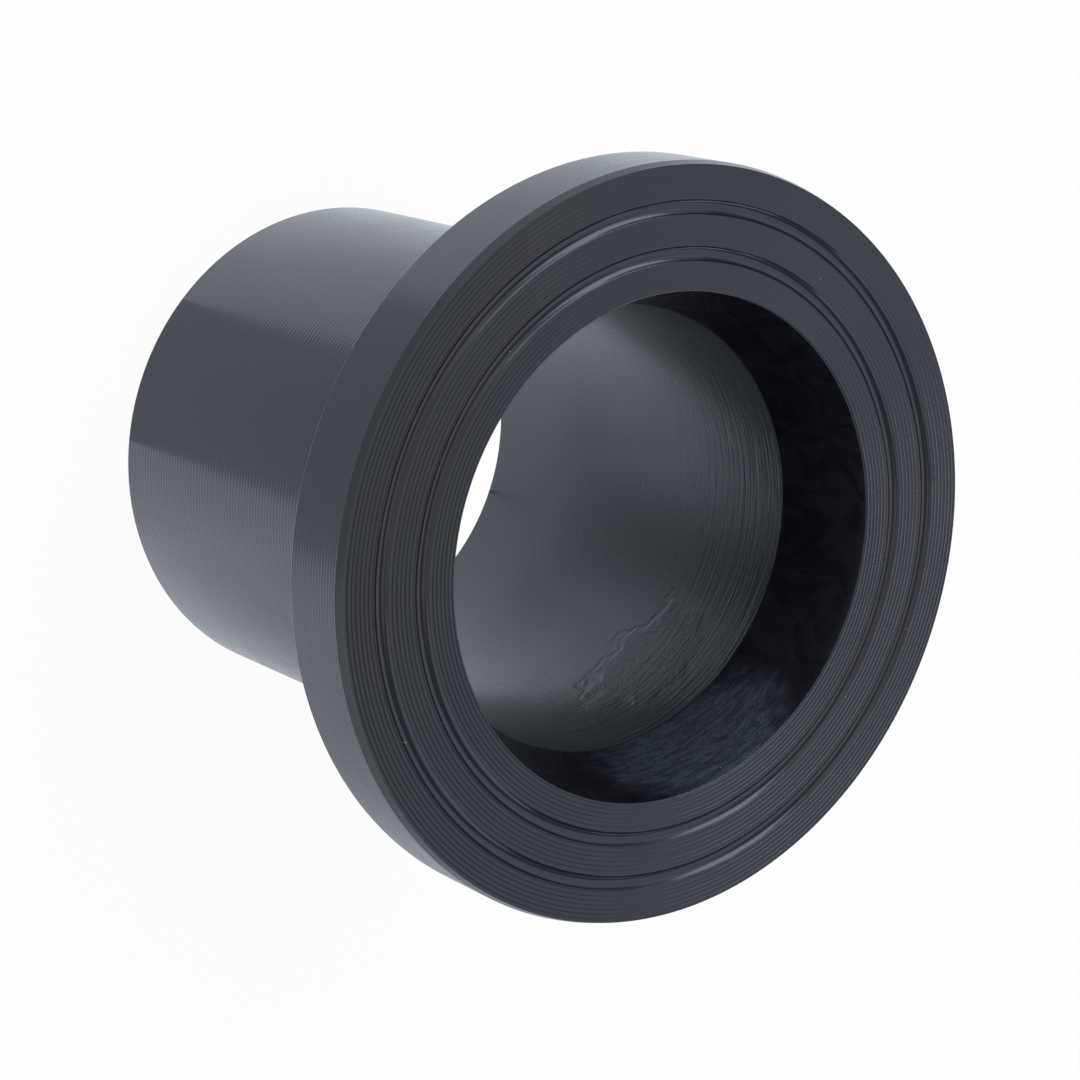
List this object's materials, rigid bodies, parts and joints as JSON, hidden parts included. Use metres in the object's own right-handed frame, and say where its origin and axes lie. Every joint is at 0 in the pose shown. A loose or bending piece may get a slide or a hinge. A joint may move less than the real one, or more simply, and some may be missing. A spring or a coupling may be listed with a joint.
{
  "type": "lap joint stub end",
  "caption": "Black polyethylene stub end: a plain pipe spigot with a turned collar, ring-grooved sealing face and tapered mouth, for a loose backing flange.",
  "frame": {"origin": "centre of the spigot's cut end, which the part stands on", "axes": "+Z along the pipe axis, from the spigot end up to the sealing face"},
  "size_m": [0.158, 0.158, 0.128],
  "materials": {
    "black_polyethylene": "satin, lathe turned"
  },
  "bodies": {
    "root": {"stub_end": "black_polyethylene"}
  },
  "joints": []
}
